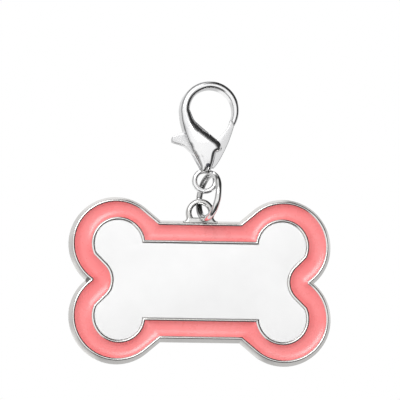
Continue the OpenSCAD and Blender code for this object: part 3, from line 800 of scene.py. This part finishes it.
def build_floor():
    mesh = bpy.data.meshes.new("floor")
    corners = ((-1, -1), (1, -1), (1, 1), (-1, 1))
    verts = [(x * FLOOR_SIZE, y * FLOOR_SIZE, FLOOR_Z) for x, y in corners]
    mesh.from_pydata(verts, [], [(0, 1, 2, 3)])
    floor = put("floor", mesh)
    mat, nodes, links, shader = nodes_of("pale_floor")
    shader.inputs["Base Color"].default_value = (0.8, 0.8, 0.8, 1)
    shader.inputs["Roughness"].default_value = 0.8
    white, mix = nodes.new("ShaderNodeEmission"), nodes.new("ShaderNodeMixShader")
    links.new(background_rays(nodes, links), mix.inputs[0])
    links.new(shader.outputs[0], mix.inputs[1])
    links.new(white.outputs[0], mix.inputs[2])
    links.new(mix.outputs[0], nodes["Material Output"].inputs["Surface"])
    mesh.materials.append(mat)


def build_world():
    world = bpy.data.worlds.new("studio")
    bpy.context.scene.world = world
    world.use_nodes = True
    nodes, links = world.node_tree.nodes, world.node_tree.links
    seen = nodes["Background"]
    seen.inputs["Color"].default_value = (1, 1, 1, 1)
    seen.inputs["Strength"].default_value = 1
    lit = nodes.new("ShaderNodeBackground")
    lit.inputs["Color"].default_value = (1, 1, 1, 1)
    lit.inputs["Strength"].default_value = WORLD_LIGHT
    mix = nodes.new("ShaderNodeMixShader")
    links.new(background_rays(nodes, links), mix.inputs[0])
    links.new(lit.outputs[0], mix.inputs[1])
    links.new(seen.outputs[0], mix.inputs[2])
    links.new(mix.outputs[0], nodes["World Output"].inputs["Surface"])


def area_light(name, place, width, height, power):
    """A rectangular lamp that points at the part's middle."""
    data = bpy.data.lights.new(name, "AREA")
    data.shape, data.size, data.size_y, data.energy = "RECTANGLE", width, height, power
    lamp = put(name, data)
    lamp.location = place
    lamp.rotation_euler = (MIDDLE - Vector(place)).to_track_quat("-Z", "Y").to_euler()


def softened(table, turns, offs):
    """The table blurred along its columns, which close on themselves, and along its rows."""
    for _ in range(turns):
        table = (np.roll(table, 1, axis=1) + 2 * table + np.roll(table, -1, axis=1)) / 4
    for _ in range(offs):
        ends = np.pad(table, ((1, 1), (0, 0)), mode="edge")
        table = (ends[:-2] + 2 * table + ends[2:]) / 4
    return table


def build_cards():
    """Soft-edged studio cards that only reflections see, which draw the bands on the plating.

    They are patches of one sphere round the part, which is clear between them.
    """
    turn, off = np.arange(0, 360, CARDS_STEP), np.arange(CARDS_FIRST, 180, CARDS_STEP)
    cover = np.zeros((len(off), len(turn)))
    shade = np.zeros_like(cover)
    for start, end, inner, outer, value in CARDS:
        inside = np.outer((off >= inner) & (off < outer), (turn - start) % 360 < end - start)
        cover[inside], shade[inside] = 1, value
    shade = softened(cover * shade, turns=6, offs=1)
    cover = softened(cover, turns=6, offs=1)
    shade = shade / np.maximum(cover, 1e-6)
    right = Vector((math.cos(AZIMUTH), math.sin(AZIMUTH), 0))
    up = VIEW_BACK.cross(right).normalized()
    verts, faces = [], []
    for a in np.radians(off):
        for f in np.radians(turn):
            side = right * math.cos(f) + up * math.sin(f)
            ray = VIEW_BACK * math.cos(a) + side * math.sin(a)
            verts.append(tuple(MIDDLE + CARDS_AWAY * ray))
    n = len(turn)
    for r in range(len(off) - 1):
        for k in range(n):
            m = (k + 1) % n
            faces.append((r * n + k, r * n + m, (r + 1) * n + m, (r + 1) * n + k))
    mesh = bpy.data.meshes.new("cards")
    mesh.from_pydata(verts, [], faces)
    for name, table in (("cover", cover), ("shade", shade)):
        mesh.attributes.new(name, "FLOAT", "POINT").data.foreach_set("value", table.ravel())
    obj = put("cards", mesh)
    mat, nodes, links, shader = nodes_of("cards")
    nodes.remove(shader)
    glow, mix = nodes.new("ShaderNodeEmission"), nodes.new("ShaderNodeMixShader")
    clear = nodes.new("ShaderNodeBsdfTransparent")
    tables = {}
    for name in ("cover", "shade"):
        tables[name] = nodes.new("ShaderNodeAttribute")
        tables[name].attribute_name = name
    links.new(tables["shade"].outputs["Fac"], glow.inputs["Color"])
    links.new(tables["cover"].outputs["Fac"], mix.inputs[0])
    links.new(clear.outputs[0], mix.inputs[1])
    links.new(glow.outputs[0], mix.inputs[2])
    links.new(mix.outputs[0], nodes["Material Output"].inputs["Surface"])
    mesh.materials.append(mat)
    obj.visible_camera = obj.visible_diffuse = obj.visible_shadow = False


def build_camera():
    """A long lens at the photograph's angle: from a little to the left and a little below."""
    data = bpy.data.cameras.new("camera")
    data.sensor_width = SENSOR_WIDTH
    data.lens = SENSOR_WIDTH * CAMERA_AWAY / VIEW_WIDTH
    data.clip_end = VIEW_END
    camera = put("camera", data)
    camera.location = MIDDLE + VIEW_BACK * CAMERA_AWAY
    camera.rotation_euler = (-VIEW_BACK).to_track_quat("-Z", "Y").to_euler()
    bpy.context.scene.camera = camera


build_floor()
build_world()
area_light("key", KEY_PLACE, width=0.75, height=0.42, power=4.8)
area_light("fill", FILL_PLACE, width=0.5, height=0.5, power=0.3)
build_cards()
build_camera()
bpy.context.scene.view_settings.view_transform = "Standard"
